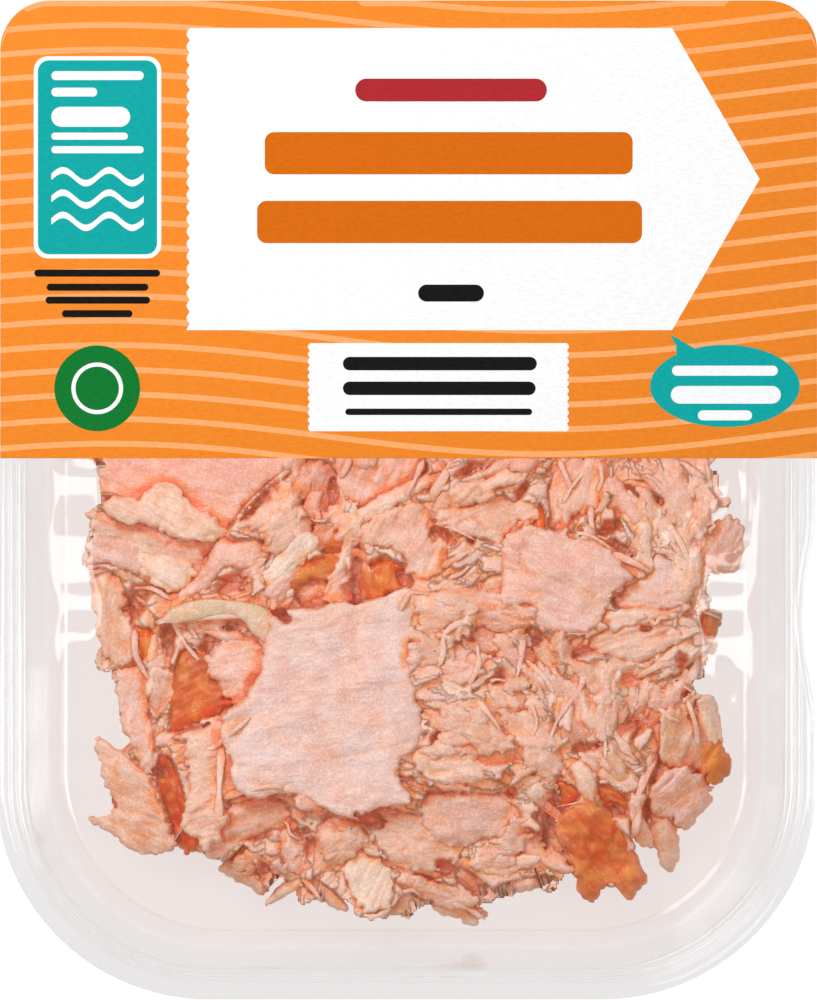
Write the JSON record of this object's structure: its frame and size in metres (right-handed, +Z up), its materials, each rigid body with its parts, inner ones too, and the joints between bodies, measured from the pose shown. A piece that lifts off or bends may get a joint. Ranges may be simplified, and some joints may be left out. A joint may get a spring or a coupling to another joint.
{
  "type": "pack of hot smoked salmon flakes",
  "caption": "Clear sealed tray of hot smoked salmon flakes under clear film, with a printed card label across the upper part of the lid.",
  "frame": {"origin": "middle of the pack's outline, on the surface that its tray lies on", "axes": "+Z up out of the lid, +Y towards the label's rounded top edge, +X to the right of the front as read"},
  "size_m": [0.1398, 0.17, 0.0232],
  "materials": {
    "clear_tray": "clear thermoformed plastic, glossy, slightly hazy along the walls",
    "salmon": "moist cooked fish, pale pink with orange smoked edges",
    "clear_film": "clear glossy film",
    "printed_card": "smooth orange print with paler waves and plain white panels"
  },
  "bodies": {
    "root": {"tray": "clear_tray", "salmon_flakes": "salmon", "lid_film": "clear_film", "label": "printed_card"}
  },
  "joints": []
}
